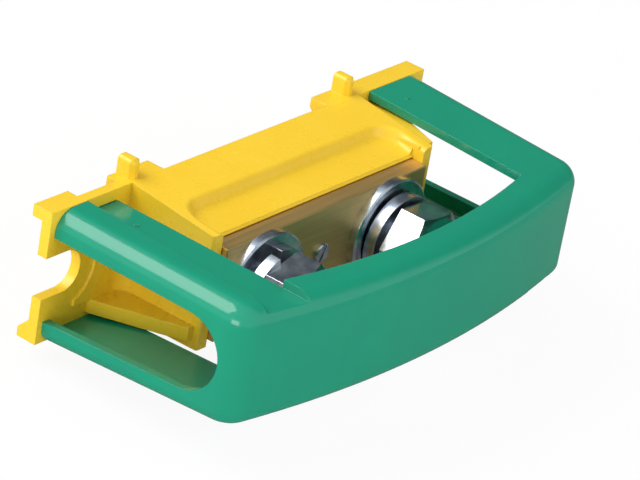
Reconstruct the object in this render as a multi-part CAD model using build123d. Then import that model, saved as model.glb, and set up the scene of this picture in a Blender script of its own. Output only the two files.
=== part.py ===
"""Power distribution block: earth bar in a moulded base under a clip-on cover.

Millimetres.  X runs along the base, the cover faces -Y, Z is up.
The origin is the centre of the flat mounting back, which lies in the plane y = 0.
"depth" below always means the distance out from that back, so y = -depth.
"""
import math
import os

from build123d import *

# allowances of the modelling itself
cut_over = 1.0
overlap = 0.5

# base plate and the lips that carry the mounting back
base_half_length = 46.4
base_half_height = 11.43
plate_back = 2.0
plate_front = 3.85
claw_inner = 38.9
pad_outer = 29.9
pad_inner = 20.45
lip_height = 1.98
rail_lip_height = 1.63
middle_back = 3.4
nub_inner = 25.7
nub_outer = 27.9
nub_height = 3.12
nub_front = 3.2
nub_round = 0.7

# end slots for the fixing screws
slot_width = 7.2
slot_inner = 38.2
slot_round = 3.5
seat_radius = 6.4
seat_centre = 41.5
field_front = 4.3
field_blend = 2.5
field_half_height = 6.9

# hollow block that holds the bar
block_front = 20.6
end_wall_root = 2.85
end_wall_front = 2.3
block_floor = 3.0
block_corner = 0.5
roof_front_top = 9.25
block_bottom = -10.8
scoop_start = 12.4
scoop_rear_floor = 8.6
scoop_front_floor = 7.4
scoop_slope = 25.0
scoop_corner = 2.5
scoop_floor_round = 1.2
scoop_rim_round = 1.1
roof_front = 18.5
roof_lip_bevel = 0.3
gusset_reach = 35.2
gusset_tip = 29.0
gusset_front = 19.5
gusset_low = 6.8
gusset_high = 9.2
pocket_columns = 6
pocket_rows = 2
pocket_rib = 1.5
pocket_corner = 0.6
pocket_wall = 2.4
pocket_half_height = 8.2

# brass bar
bar_half_length = 25.3
bar_top = 6.8
bar_height = 16.4
bar_thickness = 11.0
bar_front = 21.65
bar_chamfer = 0.15
bar_gap = 0.15

# terminal hardware, M8
bolt_size = 8.0
bolt_spread = 15.9
bolt_height = -2.0
bolt_length = 16.0
head_flats = 13.0
head_height = 5.5
head_chamfer_angle = 30.0
head_bearing_inset = 0.3
bolt_relief = 0.6
bolt_relief_depth = 1.2
left_head_turn = 14.0
right_head_turn = 55.0
thread_gap = 0.1
bolt_point = 0.8
washer_outer = 18.6
washer_hole = 8.4
washer_thick = 1.6
washer_chamfer = 0.3
spring_outer = 14.8
spring_hole = 8.7
spring_thick = 2.0
spring_rise = 1.3
spring_split = 14.0
left_spring_turn = 92.0
right_spring_turn = 250.0

# small slotted screw that keeps the bar in its seat
screw_size = 2.0
screw_shift = -0.7
screw_height = -1.2
screw_head = 3.3
screw_head_height = 0.7
screw_length = 13.0
screw_head_chamfer = 0.2
screw_slot = 0.55
screw_slot_depth = 0.4
screw_slot_turn = 25.0

# cover
cover_rear = plate_front
cover_half_length = 45.3
cover_half_height = 11.3
cover_wall = 1.45
cover_taper_length = 2.9
cover_taper_height = 2.0
cover_front = 45.0
cover_front_radius = 190.0
cover_plan_corner = 4.5
cover_top_round = 3.6
cover_bottom_round = 2.2
window_rear_half = 31.3
window_front_half = 30.4
window_corner_depth = 36.5
window_middle_depth = 40.0
strip_outer = 38.5
strip_level = 9.3
strip_fall = 0.7
strip_wall = 1.4
side_half_rear = 7.35
side_half_front = 6.5
side_centre_depth = 30.0
side_centre_height = 0.35
pip_radius = 0.45
pip_sides = 8
pip_height = 0.15
strip_pip = (-35.0, 11.0)
arm_pip = (35.0, 9.0)

# snap tongues of the cover
tongue_width = 5.0
tongue_thick = 1.3
tongue_gap = 0.15
tongue_reach = 0.6
tongue_root = 1.0
tongue_tip_chamfer = 0.3
hook_height = 0.5
hook_clearance = 0.1

# derived values
roof_rear_top = base_half_height
bar_back = bar_front - bar_thickness
bar_bottom = bar_top - bar_height
seat_half = bar_half_length + bar_gap
block_root_half = seat_half + end_wall_root
block_front_half = seat_half + end_wall_front
spring_back = bar_front + washer_thick
head_back = spring_back + spring_thick + spring_rise
scoop_tan = math.tan(math.radians(scoop_slope))
taper_a = math.tan(math.radians(cover_taper_length))
taper_c = math.tan(math.radians(cover_taper_height))
chamfer_for_round = 2 - math.sqrt(2)
tongue_centre = (strip_outer + pad_outer) / 2


def between(start, end, share):
    """Value that lies a given share of the way from start to end."""
    return start + (end - start) * share


def roof_height(depth):
    """Height of the block's roof at a depth."""
    share = (depth - plate_front) / (block_front - plate_front)
    return between(roof_rear_top, roof_front_top, share)


def scoop_height(depth):
    """Height of the floor of the hollow in the roof at a depth."""
    share = (depth - scoop_start) / (roof_front - scoop_start)
    return between(scoop_rear_floor, scoop_front_floor, share)


def cover_top(depth):
    """Height of the cover's flat top at a depth."""
    return cover_half_height - (depth - cover_rear) * taper_c


def window_half(depth):
    """Half length of the cover's top window at a depth."""
    share = (depth - cover_rear) / (window_corner_depth - cover_rear)
    return between(window_rear_half, window_front_half, share)


def strip_height(depth):
    """Height of the sunk strip's surface at a depth."""
    share = (depth - cover_rear) / (cover_front - cover_rear)
    return strip_level - strip_fall * share


def front_plane(depth):
    """Plane parallel to the back, local axes (length, height), facing the cover."""
    return Plane.XZ.offset(depth)


def block(a_from, a_to, depth_from, depth_to, c_from, c_to):
    """Plain cuboid between two lengths, depths and heights."""
    centre = ((a_from + a_to) / 2, -(depth_from + depth_to) / 2, (c_from + c_to) / 2)
    size = (abs(a_to - a_from), abs(depth_to - depth_from), abs(c_to - c_from))
    return Pos(*centre) * Box(*size)


def along_length(points, a_from, a_to):
    """Solid from a (depth, height) section swept between two lengths."""
    with BuildSketch(Plane.YZ.offset(a_from)) as section:
        with BuildLine():
            Polyline(*[(-depth, height) for depth, height in points], close=True)
        make_face()
    return extrude(section.sketch, a_to - a_from)


def along_height(points, c_from, c_to):
    """Solid from a (length, depth) plan swept between two heights."""
    with BuildSketch(Plane.XY.offset(c_from)) as plan:
        with BuildLine():
            Polyline(*[(length, -depth) for length, depth in points], close=True)
        make_face()
    return extrude(plan.sketch, c_to - c_from)


def turned(shape):
    """The same shape turned half way round the axis that points at the cover."""
    return shape.rotate(Axis.Y, 180)


def both_ways(shape):
    """A shape and its half-turn copy, as one list."""
    return [shape, turned(shape)]


def axis_disc(radius, depth_from, depth_to, length=0.0, height=0.0):
    """Round solid on an axis that points at the cover."""
    with BuildSketch(front_plane(depth_from)) as disc:
        with Locations((length, height)):
            Circle(radius)
    return extrude(disc.sketch, depth_to - depth_from)


def lips_one_side():
    """Claw, pad and rail lip along the top edge of the plate."""
    low = base_half_height - lip_height
    claw = block(-base_half_length, -claw_inner, 0, plate_front, low, base_half_height)
    pad = block(-pad_outer, -pad_inner, 0, plate_front, low, base_half_height)
    rail_low = base_half_height - rail_lip_height
    rail_inner = rail_low - plate_back
    section = [
        (0, base_half_height),
        (plate_front, base_half_height),
        (plate_front, rail_inner),
        (plate_back, rail_inner),
        (0, rail_low),
    ]
    rail = along_length(section, pad_inner, base_half_length)
    return claw + pad + rail


def nub(side):
    """Small upright stop on the edge of the plate, rounded at the top."""
    top = base_half_height + nub_height
    shape = block(side * nub_inner, side * nub_outer, 0, nub_front, base_half_height - overlap, top)
    ends = shape.edges().filter_by(Axis.Y).group_by(Axis.Z)[-1]
    shape = fillet(ends, nub_round)
    front = shape.faces().sort_by(Axis.Y)[0].edges().sort_by(Axis.Z)[-1]
    return chamfer(front, nub_round)


def end_slot(side):
    """Open slot for a fixing screw, as a cutter."""
    half = slot_width / 2
    outer = side * (base_half_length + cut_over)
    inner = side * slot_inner
    with BuildSketch(front_plane(-cut_over)) as outline:
        with BuildLine():
            Polyline((outer, half), (inner, half), (inner, -half), (outer, -half), close=True)
        make_face()
        corners = [v for v in outline.vertices() if abs(v.X) < base_half_length]
        fillet(corners, slot_round)
    return extrude(outline.sketch, field_front + 2 * cut_over)


def seat_field(side):
    """Thicker field between block and slot, cut back round for the screw head."""
    field = block(
        side * seat_half, side * claw_inner,
        plate_front - overlap, field_front,
        -field_half_height, field_half_height,
    )
    seat = axis_disc(seat_radius, plate_front, field_front + cut_over, side * seat_centre)
    return field - seat


def gusset():
    """Sloping web along the lower edge of the block, wide at the plate."""
    plan = [
        (-gusset_reach, plate_front - overlap),
        (-gusset_reach, field_front),
        (-gusset_tip, gusset_front),
        (-seat_half, gusset_front),
        (-seat_half, plate_front - overlap),
    ]
    return along_height(plan, -gusset_high, -gusset_low)


def blend_fields(body):
    """Body with the hollow corners between the fields and the ends of the block rounded."""
    corners = [
        edge for edge in body.edges().filter_by(Axis.Z)
        if abs(edge.center().Y + field_front) < 0.01
        and edge.length > field_half_height
    ]
    return fillet(corners, field_blend)


def block_body():
    """Outer body of the hollow block: falling roof and drafted ends."""
    section = [
        (middle_back, block_bottom),
        (middle_back, roof_rear_top),
        (plate_front, roof_rear_top),
        (block_front, roof_front_top),
        (block_front, block_bottom),
    ]
    body = along_length(section, -block_root_half, block_root_half)
    plan = [
        (-block_root_half, plate_back),
        (-block_root_half, plate_front),
        (-block_front_half, block_front),
        (block_front_half, block_front),
        (block_root_half, plate_front),
        (block_root_half, plate_back),
    ]
    body = body & along_height(plan, block_bottom - cut_over, roof_rear_top + cut_over)
    ends = body.edges().filter_by(Axis.Z).group_by(Axis.Y)[0]
    return fillet(ends, block_corner)


def roof_scoop():
    """Cutter for the hollow in the roof, with sloping sides and a falling floor."""
    low = scoop_front_floor - cut_over
    high = roof_rear_top + cut_over
    front = block_front + 2 * cut_over
    inset = (scoop_rear_floor - low) * scoop_tan
    half = seat_half - inset
    rear = scoop_start + inset
    with BuildSketch(Plane.XY.offset(low)) as plan:
        with BuildLine():
            Polyline((-half, -rear), (half, -rear), (half, -front), (-half, -front), close=True)
        make_face()
        fillet(plan.vertices().group_by(Axis.Y)[-1], scoop_corner)
    cutter = extrude(plan.sketch, high - low, taper=-scoop_slope)
    above_floor = [
        (middle_back, high),
        (middle_back, scoop_height(middle_back)),
        (front + cut_over, scoop_height(front + cut_over)),
        (front + cut_over, high),
    ]
    cutter = cutter & along_length(above_floor, -block_root_half, block_root_half)
    floor_edges = [
        edge for edge in cutter.edges()
        if abs(edge.center().Z - scoop_height(-edge.center().Y)) < 0.01
        and -edge.center().Y < block_front
    ]
    return fillet(floor_edges, scoop_floor_round)


def round_rim(body):
    """Body with the rim of the hollow in its roof rounded."""
    rim = [
        edge for edge in body.edges()
        if abs(edge.center().Z - roof_height(-edge.center().Y)) < 0.01
        and -edge.center().Y > scoop_start - scoop_corner
        and -edge.center().Y < block_front - block_corner
        and abs(edge.center().X) < block_front_half - block_corner
    ]
    return fillet(rim, scoop_rim_round)


def bar_opening():
    """Cutter for the bar's trough and for the mouth in front of it, which bevels the roof's lip."""
    front = block_front + cut_over
    trough = block(-seat_half, seat_half, bar_back, front, bar_bottom - bar_gap, bar_top + bar_gap)
    high = roof_rear_top + cut_over
    low = block_bottom - cut_over
    lip = scoop_height(roof_front)
    mouth = [
        (roof_front, low),
        (roof_front, lip - roof_lip_bevel),
        (roof_front - roof_lip_bevel, lip),
        (roof_front - roof_lip_bevel, high),
        (front, high),
        (front, low),
    ]
    return trough + along_length(mouth, -seat_half, seat_half)


def rear_hollow():
    """Cutters that core out the block from behind in a grid of small pockets."""
    half_a = block_front_half - pocket_wall
    width = (2 * half_a - (pocket_columns - 1) * pocket_rib) / pocket_columns
    height = (2 * pocket_half_height - (pocket_rows - 1) * pocket_rib) / pocket_rows
    depth = bar_back - block_floor
    cutters = []
    for column in range(pocket_columns):
        left = -half_a + column * (width + pocket_rib)
        for row in range(pocket_rows):
            low = -pocket_half_height + row * (height + pocket_rib)
            cell = block(left, left + width, -cut_over, depth, low, low + height)
            cutters.append(chamfer(cell.edges().filter_by(Axis.Y), pocket_corner))
    return cutters


def fixing_holes():
    """Blind holes behind the bar for the ends of the bolts and of the small screw."""
    front = bar_back + overlap
    holes = []
    for side in (-1, 1):
        place = (side * bolt_spread, bolt_height)
        radius = bolt_size / 2 + bolt_relief
        holes.append(axis_disc(radius, bar_back - bolt_relief_depth, front, *place))
    tip = bar_front + screw_head_height - screw_length
    radius = screw_size / 2 + thread_gap
    holes.append(axis_disc(radius, tip - thread_gap, front, screw_shift, screw_height))
    return holes


def tongue_slot():
    """Cutter for the slot in the plate that takes one snap tongue of the cover."""
    half = tongue_width / 2 + tongue_gap
    low = strip_level - tongue_thick - tongue_gap - hook_height
    return block(
        -tongue_centre - half, -tongue_centre + half,
        -cut_over, field_front + cut_over,
        low, strip_level + tongue_gap,
    )


def make_housing():
    """The moulded base: plate, lips, nubs, block and gussets in one piece."""
    half = base_half_length
    body = block(-half, half, plate_back, plate_front, -base_half_height, base_half_height)
    for lips in both_ways(lips_one_side()):
        body += lips
    for side in (-1, 1):
        for stop in both_ways(nub(side)):
            body += stop
        body += seat_field(side)
    low = -base_half_height - cut_over
    body -= block(-pad_inner, pad_inner, -cut_over, middle_back, low, -low)
    body += round_rim(block_body() - bar_opening() - roof_scoop())
    for web in both_ways(gusset()):
        body += web
    body = blend_fields(body)
    for side in (-1, 1):
        body -= end_slot(side)
    for cutter in rear_hollow() + fixing_holes() + both_ways(tongue_slot()):
        body -= cutter
    return body


def make_busbar():
    """Rectangular brass bar with two terminal holes and a small screw hole."""
    bar = block(-bar_half_length, bar_half_length, bar_back, bar_front, bar_bottom, bar_top)
    bar = chamfer(bar.edges(), bar_chamfer)
    rear = bar_back - cut_over
    front = bar_front + cut_over
    for side in (-1, 1):
        bar -= axis_disc(bolt_size / 2, rear, front, side * bolt_spread, bolt_height)
    return bar - axis_disc(screw_size / 2 + thread_gap, rear, front, screw_shift, screw_height)


def make_flat_washer(side):
    """Plain washer seated on the bar."""
    place = (side * bolt_spread, bolt_height)
    ring = axis_disc(washer_outer / 2, bar_front, spring_back, *place)
    ring = chamfer(ring.edges().sort_by(Axis.Y)[0], washer_chamfer)
    return ring - axis_disc(washer_hole / 2, bar_front - cut_over, spring_back + cut_over, *place)


def make_spring_washer(side, turn):
    """Split lock washer: one turn of a square coil that rises from the flat washer."""
    radius = (spring_outer + spring_hole) / 4
    width = (spring_outer - spring_hole) / 2
    pitch = spring_rise / (1 - spring_split / 360)
    coil = Helix(pitch, spring_rise, radius, lefthand=True)
    start = Plane(origin=coil @ 0, x_dir=(1, 0, 0), z_dir=coil % 0)
    ring = sweep(start * Rectangle(width, spring_thick), path=coil, is_frenet=True)
    place = Pos(side * bolt_spread, -spring_back - spring_thick / 2, bolt_height)
    return place * Rot(90, 0, 0) * Rot(0, 0, turn) * ring


def hex_head(turn):
    """Hexagon head with the usual crowned chamfer on its outer face."""
    corner = head_flats / math.sqrt(3)
    with BuildSketch(front_plane(head_back)) as outline:
        RegularPolygon(corner, 6, rotation=turn)
    prism_head = extrude(outline.sketch, head_height)
    crown_radius = head_flats / 2 - head_bearing_inset
    outer = corner + overlap
    rise = (outer - crown_radius) * math.tan(math.radians(head_chamfer_angle))
    top = head_back + head_height
    crown = [(0, head_back), (outer, head_back), (outer, top - rise), (crown_radius, top), (0, top)]
    with BuildSketch(Plane.XY) as half:
        with BuildLine():
            Polyline(*[(radius, -depth) for radius, depth in crown], close=True)
        make_face()
    return prism_head & revolve(half.sketch, Axis.Y)


def make_bolt(side, turn):
    """Hexagon bolt with a plain shank in place of the thread."""
    tip = head_back - bolt_length
    shank = axis_disc(bolt_size / 2 - thread_gap, tip, head_back + overlap)
    shank = chamfer(shank.edges().sort_by(Axis.Y)[-1], bolt_point)
    return Pos(side * bolt_spread, 0, bolt_height) * (hex_head(turn) + shank)


def make_fixing_screw():
    """Small slotted screw through the middle of the bar."""
    top = bar_front + screw_head_height
    head = axis_disc(screw_head / 2, bar_front, top)
    head = chamfer(head.edges().sort_by(Axis.Y)[0], screw_head_chamfer)
    slot = Box(screw_slot, 2 * screw_slot_depth, screw_head + cut_over)
    slot = Pos(0, -top, 0) * Rot(0, screw_slot_turn, 0) * slot
    shank = axis_disc(screw_size / 2, top - screw_length, bar_front + screw_slot_depth / 2)
    return Pos(screw_shift, 0, screw_height) * (head - slot + shank)


def cover_wedge(shrink, rear, front):
    """Tapered square-cornered box of the cover, shrunk by a wall thickness."""
    half_a = [cover_half_length - (depth - cover_rear) * taper_a - shrink for depth in (rear, front)]
    half_c = [cover_top(depth) - shrink for depth in (rear, front)]
    plan = [(-half_a[0], rear), (half_a[0], rear), (half_a[1], front), (-half_a[1], front)]
    section = [(rear, -half_c[0]), (rear, half_c[0]), (front, half_c[1]), (front, -half_c[1])]
    reach = cover_half_length + cut_over
    return along_height(plan, -reach, reach) & along_length(section, -reach, reach)


def cover_bow(shrink, rear):
    """Body under the cover's bowed front, longer than the cover itself."""
    radius = cover_front_radius - shrink
    centre = cover_front - cover_front_radius
    half = cover_half_length + cut_over
    side_depth = centre + math.sqrt(radius ** 2 - half ** 2)
    with BuildSketch(Plane.XY.offset(-cover_half_length)) as plan:
        with BuildLine():
            Line((-half, -rear), (half, -rear))
            Line((half, -rear), (half, -side_depth))
            ThreePointArc((half, -side_depth), (0, -centre - radius), (-half, -side_depth))
            Line((-half, -side_depth), (-half, -rear))
        make_face()
    return extrude(plan.sketch, 2 * cover_half_length)


def soften(edges, radius, shrink):
    """Round edges of the cover's skin; its inside gets bevels about as deep, which mesh lightly."""
    if shrink == 0:
        return fillet(edges, radius)
    return chamfer(edges, (radius - shrink) * chamfer_for_round)


def cover_solid(shrink, rear):
    """Body of the cover at a given distance inside its outer skin, with softened edges."""
    body = cover_wedge(shrink, rear, cover_front + cut_over) & cover_bow(shrink, rear)
    upright = body.edges().filter_by(Axis.Z).filter_by(lambda e: e.center().Y < -cover_front / 2)
    body = soften(upright, cover_plan_corner, shrink)
    for side, corner_round in ((1, cover_top_round), (-1, cover_bottom_round)):
        loop = [
            edge for edge in body.edges()
            if edge.center().Y < -rear - cut_over
            and side * edge.center().Z > cover_half_height / 2
        ]
        body = soften(loop, corner_round, shrink)
    return body


def window_cutter():
    """Opening in the top wall: straight tapering sides and a bowed front edge."""
    rear = cover_rear - cut_over
    rear_half = window_half(rear)
    corner = window_corner_depth
    front_half = window_half(corner)
    with BuildSketch(Plane.XY.offset(cover_half_height / 2)) as plan:
        with BuildLine():
            Line((-rear_half, -rear), (rear_half, -rear))
            Line((rear_half, -rear), (front_half, -corner))
            ThreePointArc((front_half, -corner), (0, -window_middle_depth), (-front_half, -corner))
            Line((-front_half, -corner), (-rear_half, -rear))
        make_face()
    return extrude(plan.sketch, cover_half_height)


def side_cutter():
    """Opening in the right end wall, tapering forward to a round end."""
    rear = cover_rear - cut_over
    middle = side_centre_depth
    centre = side_centre_height
    with BuildSketch(Plane.YZ.offset(strip_outer)) as section:
        with BuildLine():
            low_rear = (-rear, centre - side_half_rear)
            high_rear = (-rear, centre + side_half_rear)
            low_front = (-middle, centre - side_half_front)
            high_front = (-middle, centre + side_half_front)
            Line(low_rear, high_rear)
            Line(high_rear, high_front)
            ThreePointArc(high_front, (-middle - side_half_front, centre), low_front)
            Line(low_front, low_rear)
        make_face()
    return extrude(section.sketch, cover_half_length + cut_over - strip_outer)


def strip_plan(inset, rear):
    """Plan of the sunk strip beside the window, wider by an inset once under the top wall."""
    corner = window_corner_depth
    front = cover_front + cut_over
    return [
        (-strip_outer - inset, rear),
        (-window_half(rear), rear),
        (-window_half(corner), corner),
        (-window_half(corner) + inset, corner),
        (-window_half(front) + inset, front),
        (-strip_outer - inset, front),
    ]


def strip_band(rear, below, above):
    """Layer that follows the surface of the sunk strip, between two distances from it."""
    front = cover_front + 2 * cut_over
    section = [
        (rear, strip_height(rear) - below),
        (rear, strip_height(rear) + above),
        (front, strip_height(front) + above),
        (front, strip_height(front) - below),
    ]
    return along_length(section, -cover_half_length, 0)


def strip_pocket():
    """Cutter that sinks the strip below the cover's top."""
    rear = cover_rear - cut_over
    plan = strip_plan(0, rear)
    plan = [point for index, point in enumerate(plan) if index not in (2, 3)]
    return along_height(plan, 0, 2 * cover_half_height) & strip_band(rear, 0, cover_half_height)


def strip_floor():
    """Material under the sunk strip."""
    layer = strip_band(cover_rear, strip_wall, strip_wall)
    return along_height(strip_plan(cover_wall, cover_rear), 0, cover_half_height) & layer


def tongue():
    """Snap tongue at the rear of a sunk strip, with a hook behind the plate."""
    root = cover_rear + tongue_root
    high = strip_height(root)
    low = high - tongue_thick
    hook = plate_back - hook_clearance
    section = [
        (root, high),
        (root, low),
        (hook, low),
        (hook, low - hook_height),
        (tongue_reach, low),
        (tongue_reach, high - tongue_tip_chamfer),
        (tongue_reach + tongue_tip_chamfer, high),
    ]
    half = tongue_width / 2
    return along_length(section, -tongue_centre - half, -tongue_centre + half)


def pip(place, surface):
    """Small moulding mark, nearly round, that stands on a surface of the cover."""
    length, depth = place
    with BuildSketch(Plane.XY.offset(surface - overlap)) as mark:
        with Locations((length, -depth)):
            RegularPolygon(pip_radius, pip_sides)
    return extrude(mark.sketch, overlap + pip_height)


def make_cover():
    """The hollow cap with windows, side openings, sunk strips and snap tongues."""
    outer = cover_solid(0, cover_rear)
    shell = outer - cover_solid(cover_wall, cover_rear - cut_over)
    for floor in both_ways(strip_floor()):
        shell += floor & outer
    for opening in (window_cutter(), strip_pocket(), side_cutter()):
        for cutter in both_ways(opening):
            shell -= cutter
    strip_mark = pip(strip_pip, strip_height(strip_pip[1]))
    arm_mark = pip(arm_pip, cover_top(arm_pip[1]))
    for lump in both_ways(tongue()) + both_ways(strip_mark) + both_ways(arm_mark):
        shell += lump
    return shell


def make_parts():
    """Every separate piece by its node name."""
    return {
        "housing": make_housing(),
        "busbar": make_busbar(),
        "cover": make_cover(),
        "flat_washer_left": make_flat_washer(-1),
        "flat_washer_right": make_flat_washer(1),
        "spring_washer_left": make_spring_washer(-1, left_spring_turn),
        "spring_washer_right": make_spring_washer(1, right_spring_turn),
        "hex_bolt_left": make_bolt(-1, left_head_turn),
        "hex_bolt_right": make_bolt(1, right_head_turn),
        "fixing_screw": make_fixing_screw(),
    }


if __name__ == "__main__":
    os.makedirs("parts", exist_ok=True)
    for name, shape in make_parts().items():
        export_step(shape, os.path.join("parts", name + ".step"))
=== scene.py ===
"""Looks of the power distribution block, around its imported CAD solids. Metres, +Z up."""

import math

import bpy
from mathutils import Matrix, Vector

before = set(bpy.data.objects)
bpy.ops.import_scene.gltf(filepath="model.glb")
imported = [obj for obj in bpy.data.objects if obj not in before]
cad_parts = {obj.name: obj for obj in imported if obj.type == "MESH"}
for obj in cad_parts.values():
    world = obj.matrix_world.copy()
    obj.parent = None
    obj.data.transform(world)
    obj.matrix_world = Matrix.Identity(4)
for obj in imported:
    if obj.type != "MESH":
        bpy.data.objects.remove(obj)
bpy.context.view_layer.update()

# camera, solved from the edges of the base and the cover
azimuth = math.radians(-55.55)
elevation = math.radians(27.05)
roll = math.radians(10.13)
focal_pixels = 3500.0
picture_width = 640.0
sensor = 36.0
nearest_seen = 0.01
distance = 0.55556
target = Vector((-0.000338, -0.020997, 0.000565))

# the block lies on its lower stops and on the front edge of the cover
floor_size = 3.0
floor_drop = 0.0146
floor_forward = 0.0019
floor_tilt = math.atan2(0.0048, 0.0425)
floor_grey = (0.9, 0.9, 0.9, 1)

# how much of the floor's own shade gives way to an even glow, by who looks at it
floor_glow_to_camera = 0.93
floor_glow_in_reflections = 0.9
floor_in_reflections = 0.15

# how bright the white surroundings are
white_to_camera = 1.0
world_as_light = 0.52
world_in_reflections = 0.85
plain_white = (1, 1, 1, 1)
bluish_white = (0.82, 0.93, 1.0, 1)

# the dark side of the surroundings in reflections, and where it starts and is full
dark_in_reflections = 0.1
dark_direction = (0.82, 0.06, 0.56)
dark_start = 0.62
dark_full = 0.8

# lamps: name, place, width and height, power, and whether glossy surfaces mirror it
lamps_aim = (0.0, -0.02, 0.0)
lamps = [
    ("key_light", (-0.47, 0.56, 0.82), (1.0, 0.7), 9.5, True),
    ("left_fill", (-0.92, -0.26, 0.08), (0.5, 0.4), 3.0, True),
    ("front_light", (0.15, -1.0, 0.45), (0.8, 0.6), 3.8, False),
]

# colours of the pieces, as red, green and blue from 0 to 255
yellow_shades = ((248, 207, 52), (246, 203, 44))
yellow_worn = (252, 226, 120)
green_shades = ((25, 149, 116), (27, 145, 115))
green_worn = (60, 176, 140)
brass_shades = ((214, 180, 116), (230, 196, 130))
brass_worn = (206, 178, 118)
zinc_shades = ((176, 182, 196), (222, 224, 228))
zinc_worn = (235, 238, 240)

yellow_rough = 0.27
green_rough = 0.12
washer_rough = 0.24
spring_rough = 0.28
bolt_rough = 0.2
brass_rough_least = 0.4
brass_rough_most = 0.52

plastic_refraction = 1.5
brass_metallic = 0.93
zinc_metallic = 1.0

# marks in each material: noise scale, how soft their rims are, and how they change the roughness
plain_detail = 3.0
flow_marks = 90.0
flow_mark_rim = 0.15
plastic_patches = 400.0
plastic_patch_rough = (-0.04, 0.06)
brass_streaks = 2600.0
brass_streak_stretch = (0.02, 1, 1)
brass_streak_rim = 0.2
zinc_clouds = 420.0
zinc_cloud_detail = 5.0
zinc_cloud_rim = 0.15
zinc_cloud_rough = (-0.06, 0.08)

# fine unevenness: noise scale, then strength and depth in metres
plastic_grain = 2500.0
plastic_grain_detail = 2.0
plastic_grain_bump = (0.04, 0.00005)
brass_streak_bump = (0.08, 0.00002)
zinc_grain = 1100.0
zinc_grain_bump = (0.2, 0.00004)

# rubbed edges: their width in metres, and the cosine of the lean of the rounded normal
# from the real one where the wear starts and is full
plastic_edge = 0.00018
plastic_wear = 0.25
metal_edge = 0.00015
wear_start = 0.99
wear_full = 0.75
edge_samples = 6


def linear(red, green, blue):
    """Linear colour from the usual 0 to 255 values."""
    values = []
    for part in (red, green, blue):
        share = part / 255
        values.append(share / 12.92 if share <= 0.04045 else ((share + 0.055) / 1.055) ** 2.4)
    return (*values, 1.0)


class Recipe:
    """A small helper that adds nodes to one material and joins them."""

    def __init__(self, name):
        self.material = bpy.data.materials.new(name)
        self.material.use_nodes = True
        self.tree = self.material.node_tree
        self.shader = self.tree.nodes["Principled BSDF"]
        self.place = self.add("ShaderNodeTexCoord").outputs["Object"]

    def add(self, kind, **settings):
        node = self.tree.nodes.new(kind)
        for name, value in settings.items():
            setattr(node, name, value)
        return node

    def join(self, source, destination):
        self.tree.links.new(source, destination)

    def noise(self, scale, detail=plain_detail, stretch=(1, 1, 1)):
        """Uneven grey from 0 to 1, finer with a larger scale."""
        mapping = self.add("ShaderNodeMapping")
        mapping.inputs["Scale"].default_value = stretch
        self.join(self.place, mapping.inputs["Vector"])
        node = self.add("ShaderNodeTexNoise")
        node.inputs["Scale"].default_value = scale
        node.inputs["Detail"].default_value = detail
        self.join(mapping.outputs["Vector"], node.inputs["Vector"])
        return node.outputs["Fac"]

    def ramp(self, source, low, high, start=0.0, end=1.0):
        """Takes a value from low at start to high at end."""
        node = self.add("ShaderNodeMapRange")
        node.inputs["From Min"].default_value = start
        node.inputs["From Max"].default_value = end
        node.inputs["To Min"].default_value = low
        node.inputs["To Max"].default_value = high
        self.join(source, node.inputs["Value"])
        return node.outputs["Result"]

    def blend(self, share, first, second):
        """First colour where the share is 0, second where it is 1."""
        node = self.add("ShaderNodeMix", data_type="RGBA")
        self.join(share, node.inputs["Factor"])
        for value, socket in ((first, node.inputs[6]), (second, node.inputs[7])):
            if isinstance(value, tuple):
                socket.default_value = value
            else:
                self.join(value, socket)
        return node.outputs[2]

    def shades(self, source, rim, pair):
        """Two shades of one colour, mixed where the source is within a rim of one half."""
        share = self.ramp(source, 0.0, 1.0, 0.5 - rim, 0.5 + rim)
        return self.blend(share, linear(*pair[0]), linear(*pair[1]))

    def edges(self, width):
        """Wear that is 0 on flats and 1 on sharp edges, and the rounded normal there."""
        bevel = self.add("ShaderNodeBevel", samples=edge_samples)
        bevel.inputs["Radius"].default_value = width
        geometry = self.add("ShaderNodeNewGeometry")
        dot = self.add("ShaderNodeVectorMath", operation="DOT_PRODUCT")
        self.join(bevel.outputs["Normal"], dot.inputs[0])
        self.join(geometry.outputs["Normal"], dot.inputs[1])
        return self.ramp(dot.outputs["Value"], 1.0, 0.0, wear_full, wear_start), bevel.outputs["Normal"]

    def bump(self, height, strength_and_depth, normal):
        """Fine unevenness on top of the rounded normal."""
        strength, depth = strength_and_depth
        node = self.add("ShaderNodeBump")
        node.inputs["Strength"].default_value = strength
        node.inputs["Distance"].default_value = depth
        self.join(height, node.inputs["Height"])
        self.join(normal, node.inputs["Normal"])
        self.join(node.outputs["Normal"], self.shader.inputs["Normal"])

    def finish(self, colour, rough, **values):
        """Joins colour and roughness to the shader and sets its plain values."""
        self.join(colour, self.shader.inputs["Base Color"])
        self.join(rough, self.shader.inputs["Roughness"])
        for name, value in values.items():
            self.shader.inputs[name].default_value = value
        return self.material


def moulded_plastic(name, pair, worn, rough):
    """Glossy moulded plastic with faint flow marks and paler rubbed edges."""
    recipe = Recipe(name)
    base = recipe.shades(recipe.noise(flow_marks), flow_mark_rim, pair)
    wear, smooth = recipe.edges(plastic_edge)
    faint = recipe.add("ShaderNodeMath", operation="MULTIPLY")
    recipe.join(wear, faint.inputs[0])
    faint.inputs[1].default_value = plastic_wear
    colour = recipe.blend(faint.outputs[0], base, linear(*worn))
    least, most = plastic_patch_rough
    unevenness = recipe.ramp(recipe.noise(plastic_patches), rough + least, rough + most)
    recipe.bump(recipe.noise(plastic_grain, plastic_grain_detail), plastic_grain_bump, smooth)
    return recipe.finish(colour, unevenness, IOR=plastic_refraction)


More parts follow.
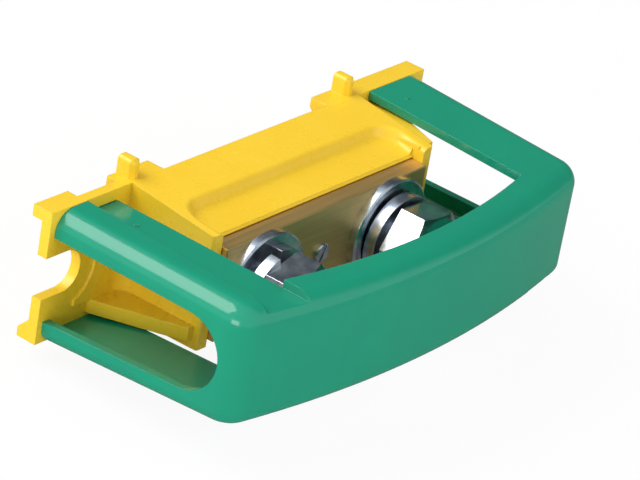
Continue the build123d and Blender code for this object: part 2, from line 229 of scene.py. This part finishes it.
def drawn_brass(name):
    """Dull drawn brass with fine streaks along the bar."""
    recipe = Recipe(name)
    streaks = recipe.noise(brass_streaks, stretch=brass_streak_stretch)
    base = recipe.shades(streaks, brass_streak_rim, brass_shades)
    wear, smooth = recipe.edges(metal_edge)
    colour = recipe.blend(wear, base, linear(*brass_worn))
    unevenness = recipe.ramp(streaks, brass_rough_least, brass_rough_most)
    recipe.bump(streaks, brass_streak_bump, smooth)
    return recipe.finish(colour, unevenness, Metallic=brass_metallic)


def zinc_steel(name, rough):
    """Bright zinc plated steel, slightly uneven."""
    recipe = Recipe(name)
    clouds = recipe.noise(zinc_clouds, zinc_cloud_detail)
    base = recipe.shades(clouds, zinc_cloud_rim, zinc_shades)
    wear, smooth = recipe.edges(metal_edge)
    colour = recipe.blend(wear, base, linear(*zinc_worn))
    least, most = zinc_cloud_rough
    unevenness = recipe.ramp(clouds, rough + least, rough + most)
    recipe.bump(recipe.noise(zinc_grain), zinc_grain_bump, smooth)
    return recipe.finish(colour, unevenness, Metallic=zinc_metallic)


def dress(names, material):
    """Gives CAD nodes a material in all their slots."""
    for name in names:
        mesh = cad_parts[name].data
        mesh.materials.clear()
        mesh.materials.append(material)


def smooth_light(name, place, size, power, mirrored):
    """Soft rectangular lamp that faces the block."""
    data = bpy.data.lights.new(name, "AREA")
    data.shape = "RECTANGLE"
    data.size, data.size_y = size
    data.energy = power
    lamp = bpy.data.objects.new(name, data)
    lamp.visible_glossy = mirrored
    lamp.location = place
    lamp.rotation_euler = (Vector(lamps_aim) - Vector(place)).to_track_quat("-Z", "Y").to_euler()
    bpy.context.collection.objects.link(lamp)


def add_strength(tree, by_camera, by_reflection, by_light):
    """Strength that depends on whether the camera, a reflection or plain light looks."""
    path = tree.nodes.new("ShaderNodeLightPath")
    looks = (
        ("Is Glossy Ray", by_reflection),
        ("Is Transmission Ray", by_camera),
        ("Is Camera Ray", by_camera),
    )
    value = by_light
    for ray, strength in looks:
        mix = tree.nodes.new("ShaderNodeMix")
        tree.links.new(path.outputs[ray], mix.inputs["Factor"])
        for source, socket in ((value, mix.inputs[2]), (strength, mix.inputs[3])):
            if isinstance(source, float):
                socket.default_value = source
            else:
                tree.links.new(source, socket)
        value = mix.outputs[0]
    return value


def dark_side(tree):
    """Strength in reflections: bright all round, and darker towards one direction."""
    sky = tree.nodes.new("ShaderNodeTexCoord")
    nearness = tree.nodes.new("ShaderNodeVectorMath")
    nearness.operation = "DOT_PRODUCT"
    nearness.inputs[1].default_value = Vector(dark_direction).normalized()
    tree.links.new(sky.outputs["Generated"], nearness.inputs[0])
    fall = tree.nodes.new("ShaderNodeMapRange")
    fall.inputs["From Min"].default_value = dark_start
    fall.inputs["From Max"].default_value = dark_full
    fall.inputs["To Min"].default_value = world_in_reflections
    fall.inputs["To Max"].default_value = dark_in_reflections
    tree.links.new(nearness.outputs["Value"], fall.inputs["Value"])
    return fall.outputs["Result"]


def white_world():
    """White to the camera, soft grey as light, and bluish with a dark side in reflections."""
    world = bpy.data.worlds.new("studio")
    bpy.context.scene.world = world
    world.use_nodes = True
    tree = world.node_tree
    background = tree.nodes["Background"]
    path = tree.nodes.new("ShaderNodeLightPath")
    tint = tree.nodes.new("ShaderNodeMix")
    tint.data_type = "RGBA"
    tree.links.new(path.outputs["Is Glossy Ray"], tint.inputs["Factor"])
    tint.inputs[6].default_value = plain_white
    tint.inputs[7].default_value = bluish_white
    tree.links.new(tint.outputs[2], background.inputs["Color"])
    strength = add_strength(tree, white_to_camera, dark_side(tree), world_as_light)
    tree.links.new(strength, background.inputs["Strength"])


def floor_material():
    """Grey that takes shadows, mixed with a glow that keeps it white to the camera."""
    material = bpy.data.materials.new("floor_white")
    material.use_nodes = True
    tree = material.node_tree
    tree.nodes.remove(tree.nodes["Principled BSDF"])
    output = tree.nodes["Material Output"]
    diffuse = tree.nodes.new("ShaderNodeBsdfDiffuse")
    diffuse.inputs["Color"].default_value = floor_grey
    glow = tree.nodes.new("ShaderNodeEmission")
    brightness = add_strength(tree, white_to_camera, floor_in_reflections, 0.0)
    tree.links.new(brightness, glow.inputs["Strength"])
    mix = tree.nodes.new("ShaderNodeMixShader")
    share = add_strength(tree, floor_glow_to_camera, floor_glow_in_reflections, 0.0)
    tree.links.new(share, mix.inputs["Fac"])
    tree.links.new(diffuse.outputs[0], mix.inputs[1])
    tree.links.new(glow.outputs[0], mix.inputs[2])
    tree.links.new(mix.outputs[0], output.inputs["Surface"])
    return material


def pale_floor():
    """White floor that keeps a faint shadow under the block."""
    bpy.ops.mesh.primitive_plane_add(size=floor_size)
    floor = bpy.context.object
    floor.name = "floor"
    floor.rotation_euler = (floor_tilt, 0, 0)
    floor.location = (0, -floor_forward, -floor_drop)
    floor.data.materials.append(floor_material())


def photo_camera():
    """Camera at the photograph's viewing angle."""
    outward = Vector((
        math.sin(azimuth) * math.cos(elevation),
        -math.cos(azimuth) * math.cos(elevation),
        math.sin(elevation),
    ))
    level = Vector((0, 0, 1)).cross(outward).normalized()
    upright = outward.cross(level)
    right = math.cos(roll) * level + math.sin(roll) * upright
    up = -math.sin(roll) * level + math.cos(roll) * upright
    data = bpy.data.cameras.new("camera")
    data.sensor_width = sensor
    data.lens = focal_pixels / picture_width * sensor
    data.clip_start = nearest_seen
    camera = bpy.data.objects.new("camera", data)
    place = target + outward * distance
    turn = Matrix((right, up, outward)).transposed().to_4x4()
    camera.matrix_world = Matrix.Translation(place) @ turn
    bpy.context.collection.objects.link(camera)
    bpy.context.scene.camera = camera


dress(["housing"], moulded_plastic("yellow_plastic", yellow_shades, yellow_worn, yellow_rough))
dress(["cover"], moulded_plastic("green_plastic", green_shades, green_worn, green_rough))
dress(["busbar"], drawn_brass("drawn_brass"))
dress(["flat_washer_left", "flat_washer_right"], zinc_steel("washer_zinc", washer_rough))
dress(["spring_washer_left", "spring_washer_right"], zinc_steel("spring_zinc", spring_rough))
dress(["hex_bolt_left", "hex_bolt_right", "fixing_screw"], zinc_steel("bolt_zinc", bolt_rough))

white_world()
pale_floor()
for lamp in lamps:
    smooth_light(*lamp)
photo_camera()
bpy.context.scene.view_settings.view_transform = "Standard"
